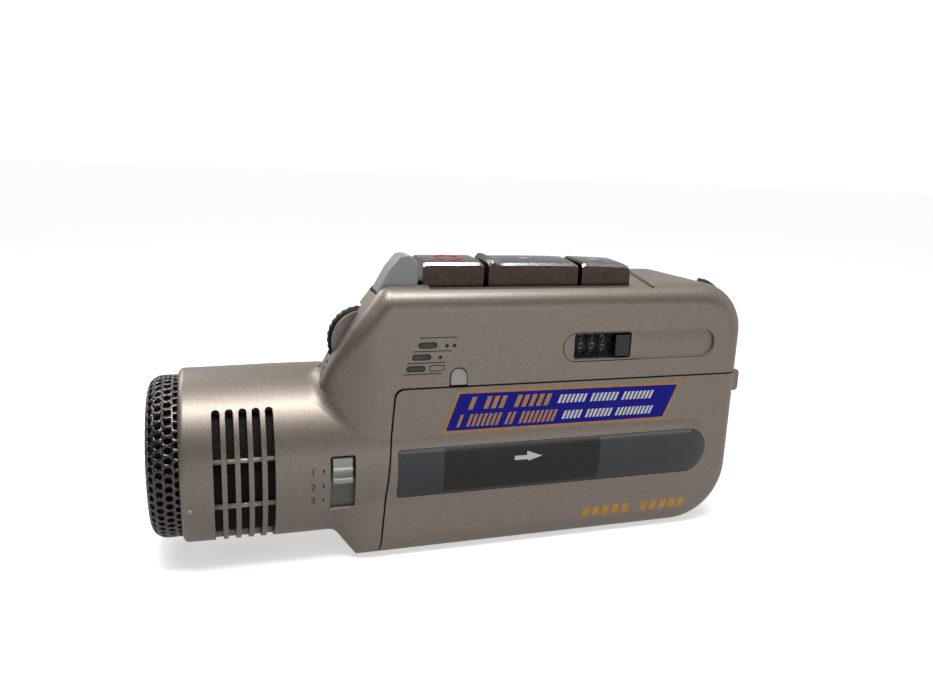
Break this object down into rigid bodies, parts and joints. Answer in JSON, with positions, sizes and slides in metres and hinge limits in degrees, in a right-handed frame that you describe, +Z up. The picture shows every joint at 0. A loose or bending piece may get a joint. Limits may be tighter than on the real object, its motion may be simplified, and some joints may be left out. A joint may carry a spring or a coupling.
{
  "type": "microcassette dictation machine",
  "caption": "Hand-held microcassette dictation recorder with a stereo microphone barrel, hinged cassette lid, piano keys, tape counter and full tape drive inside.",
  "frame": {"origin": "bottom centre of the bounding box", "axes": "+X along the length away from the microphone, -Y out of the cassette lid, +Z up through the keys"},
  "size_m": [0.1402, 0.039, 0.0672],
  "materials": {
    "champagne_paint": "satin metallic paint on moulded plastic",
    "smoked_window": "smoked clear plastic, polished",
    "blue_label": "glossy printed sticker, blue with a gold border",
    "chrome_key": "bright chrome plating",
    "spring_steel": "plain spring steel",
    "grille_steel": "perforated steel, satin",
    "black_foam": "open-cell foam and cloth, matt",
    "black_plastic": "black moulded plastic",
    "gloss_black": "polished black plastic",
    "capsule_metal": "turned aluminium",
    "plated_steel": "zinc-plated pressed steel",
    "lever_plastic": "blue-grey moulded plastic",
    "grey_plastic": "grey-green moulded plastic",
    "lamp_lens": "dark red lamp lenses",
    "digit_white": "black drums with white digits",
    "clear_window": "thin clear cover, polished",
    "brass_part": "turned brass",
    "rubber_part": "black rubber",
    "tape_shell": "dark grey cassette plastic",
    "tape_pack": "brown tape on a pale hub",
    "head_metal": "polished head face",
    "cell_jacket": "printed steel jacket",
    "circuit_board": "green circuit board"
  },
  "bodies": {
    "case": {"front_shell": "champagne_paint", "rear_shell": "champagne_paint", "lid_hinge_pins": "spring_steel", "mic_grille_cap": "grille_steel", "mic_foam": "black_foam", "slot_screen": "black_foam", "mic_holder": "rubber_part", "front_microphone": "capsule_metal", "rear_microphone": "capsule_metal", "key_bracket": "plated_steel", "lever_pin": "spring_steel", "volume_control": "black_plastic", "mic_mode_plate": "grey_plastic", "battery_lamps": "lamp_lens", "counter_shaft": "spring_steel", "counter_frame": "black_plastic", "counter_window": "clear_window", "chassis_plate": "plated_steel", "capstan_bearing": "brass_part", "cassette_shell": "tape_shell", "motor": "plated_steel", "drive_belt": "rubber_part", "lower_cell": "cell_jacket", "upper_cell": "cell_jacket", "battery_contacts": "spring_steel", "speaker": "black_plastic", "main_board": "circuit_board", "board_chips": "black_plastic", "ear_jack": "black_plastic", "power_jack": "black_plastic", "case_screws": "plated_steel"},
    "lid": {"cassette_lid": "champagne_paint", "lid_window": "smoked_window", "label_sticker": "blue_label"},
    "record_button": {"record_key": "chrome_key", "record_key_spring": "spring_steel"},
    "play_button": {"play_key": "chrome_key", "play_key_spring": "spring_steel"},
    "stop_button": {"stop_key": "chrome_key", "stop_key_spring": "spring_steel"},
    "head_carriage": {"head_base": "plated_steel", "record_play_head": "head_metal", "erase_head": "head_metal"},
    "roller": {"pinch_roller": "rubber_part"},
    "lever": {"search_lever": "lever_plastic"},
    "volume": {"volume_wheel": "grey_plastic"},
    "mode_knob": {"mic_mode_knob": "grey_plastic"},
    "eject": {"eject_button": "grey_plastic"},
    "reset": {"counter_reset_button": "gloss_black"},
    "speed_knob": {"speed_switch": "gloss_black"},
    "door": {"battery_door": "champagne_paint"},
    "capstan": {"flywheel": "brass_part"},
    "pulley": {"motor_pulley": "brass_part"},
    "takeup": {"takeup_spindle": "black_plastic", "takeup_reel": "tape_pack"},
    "supply": {"supply_spindle": "black_plastic", "supply_reel": "tape_pack"},
    "units": {"units_wheel": "digit_white"},
    "tens": {"tens_wheel": "digit_white"},
    "hundreds": {"hundreds_wheel": "digit_white"}
  },
  "joints": [
    {"name": "lid_hinge", "type": "hinge", "parent": "case", "child": "lid", "pos_m": [0, -0.0134, 0.005], "axis": [1, 0, 0], "range_deg": [0, 50]},
    {"name": "record_key_press", "type": "slide", "parent": "case", "child": "record_button", "axis": [0, 0, -1], "range_m": [0, 0.0025], "stiffness_N_per_m": 300, "springref_m": -0.002, "deforming": ["record_key_spring"]},
    {"name": "play_key_press", "type": "slide", "parent": "case", "child": "play_button", "axis": [0, 0, -1], "range_m": [0, 0.0025], "stiffness_N_per_m": 300, "springref_m": -0.002, "deforming": ["play_key_spring"]},
    {"name": "stop_key_press", "type": "slide", "parent": "case", "child": "stop_button", "axis": [0, 0, -1], "range_m": [0, 0.0025], "stiffness_N_per_m": 300, "springref_m": -0.002, "deforming": ["stop_key_spring"]},
    {"name": "head_slide", "type": "slide", "parent": "case", "child": "head_carriage", "axis": [0, 0, -1], "range_m": [0, 0.003]},
    {"name": "roller_spin", "type": "hinge", "parent": "head_carriage", "child": "roller", "pos_m": [0.003, -0.0115, 0.0419], "axis": [0, 1, 0], "continuous": true},
    {"name": "search_lever_rock", "type": "hinge", "parent": "case", "child": "lever", "pos_m": [-0.0156, -0.01025, 0.0546], "axis": [0, 1, 0], "range_deg": [-4.5, 4.5], "stiffness_Nm_per_rad": 0.05},
    {"name": "volume_turn", "type": "hinge", "parent": "case", "child": "volume", "pos_m": [-0.0242, -0.0073, 0.0479], "axis": [0, 1, 0], "range_deg": [0, 270]},
    {"name": "mic_mode_slide", "type": "slide", "parent": "case", "child": "mode_knob", "axis": [0, 0, -1], "range_m": [0, 0.006]},
    {"name": "eject_press", "type": "slide", "parent": "case", "child": "eject", "axis": [0, 1, 0], "range_m": [0, 0.001], "stiffness_N_per_m": 200, "springref_m": -0.001},
    {"name": "counter_reset_press", "type": "slide", "parent": "case", "child": "reset", "axis": [0, 1, 0], "range_m": [0, 0.001], "stiffness_N_per_m": 200, "springref_m": -0.001},
    {"name": "speed_switch_slide", "type": "slide", "parent": "case", "child": "speed_knob", "axis": [0, 1, 0], "range_m": [0, 0.0025]},
    {"name": "battery_door_slide", "type": "slide", "parent": "case", "child": "door", "axis": [1, 0, 0], "range_m": [0, 0.012]},
    {"name": "flywheel_spin", "type": "hinge", "parent": "case", "child": "capstan", "pos_m": [0.003, -0.003, 0.0353], "axis": [0, 1, 0], "continuous": true},
    {"name": "motor_pulley_spin", "type": "hinge", "parent": "case", "child": "pulley", "pos_m": [0.034, -0.0034, 0.044], "axis": [0, 1, 0], "continuous": true},
    {"name": "takeup_spin", "type": "hinge", "parent": "case", "child": "takeup", "pos_m": [-0.0001, -0.01, 0.02], "axis": [0, 1, 0], "continuous": true},
    {"name": "supply_spin", "type": "hinge", "parent": "case", "child": "supply", "pos_m": [0.0254, -0.01, 0.02], "axis": [0, 1, 0], "continuous": true},
    {"name": "units_spin", "type": "hinge", "parent": "case", "child": "units", "pos_m": [0.0309, -0.0127, 0.047], "axis": [1, 0, 0], "continuous": true},
    {"name": "tens_spin", "type": "hinge", "parent": "case", "child": "tens", "pos_m": [0.0281, -0.0127, 0.047], "axis": [1, 0, 0], "continuous": true},
    {"name": "hundreds_spin", "type": "hinge", "parent": "case", "child": "hundreds", "pos_m": [0.0253, -0.0127, 0.047], "axis": [1, 0, 0], "continuous": true}
  ],
  "couplings": [
    {"joint": "head_slide", "follows": "play_key_press", "ratio": 1.2},
    {"joint": "roller_spin", "follows": "flywheel_spin", "ratio": -0.28846},
    {"joint": "motor_pulley_spin", "follows": "flywheel_spin", "ratio": 5},
    {"joint": "takeup_spin", "follows": "flywheel_spin", "ratio": 0.0987},
    {"joint": "supply_spin", "follows": "flywheel_spin", "ratio": 0.0721},
    {"joint": "units_spin", "follows": "flywheel_spin", "ratio": 0.05},
    {"joint": "tens_spin", "follows": "flywheel_spin", "ratio": 0.005},
    {"joint": "hundreds_spin", "follows": "flywheel_spin", "ratio": 0.0005}
  ]
}
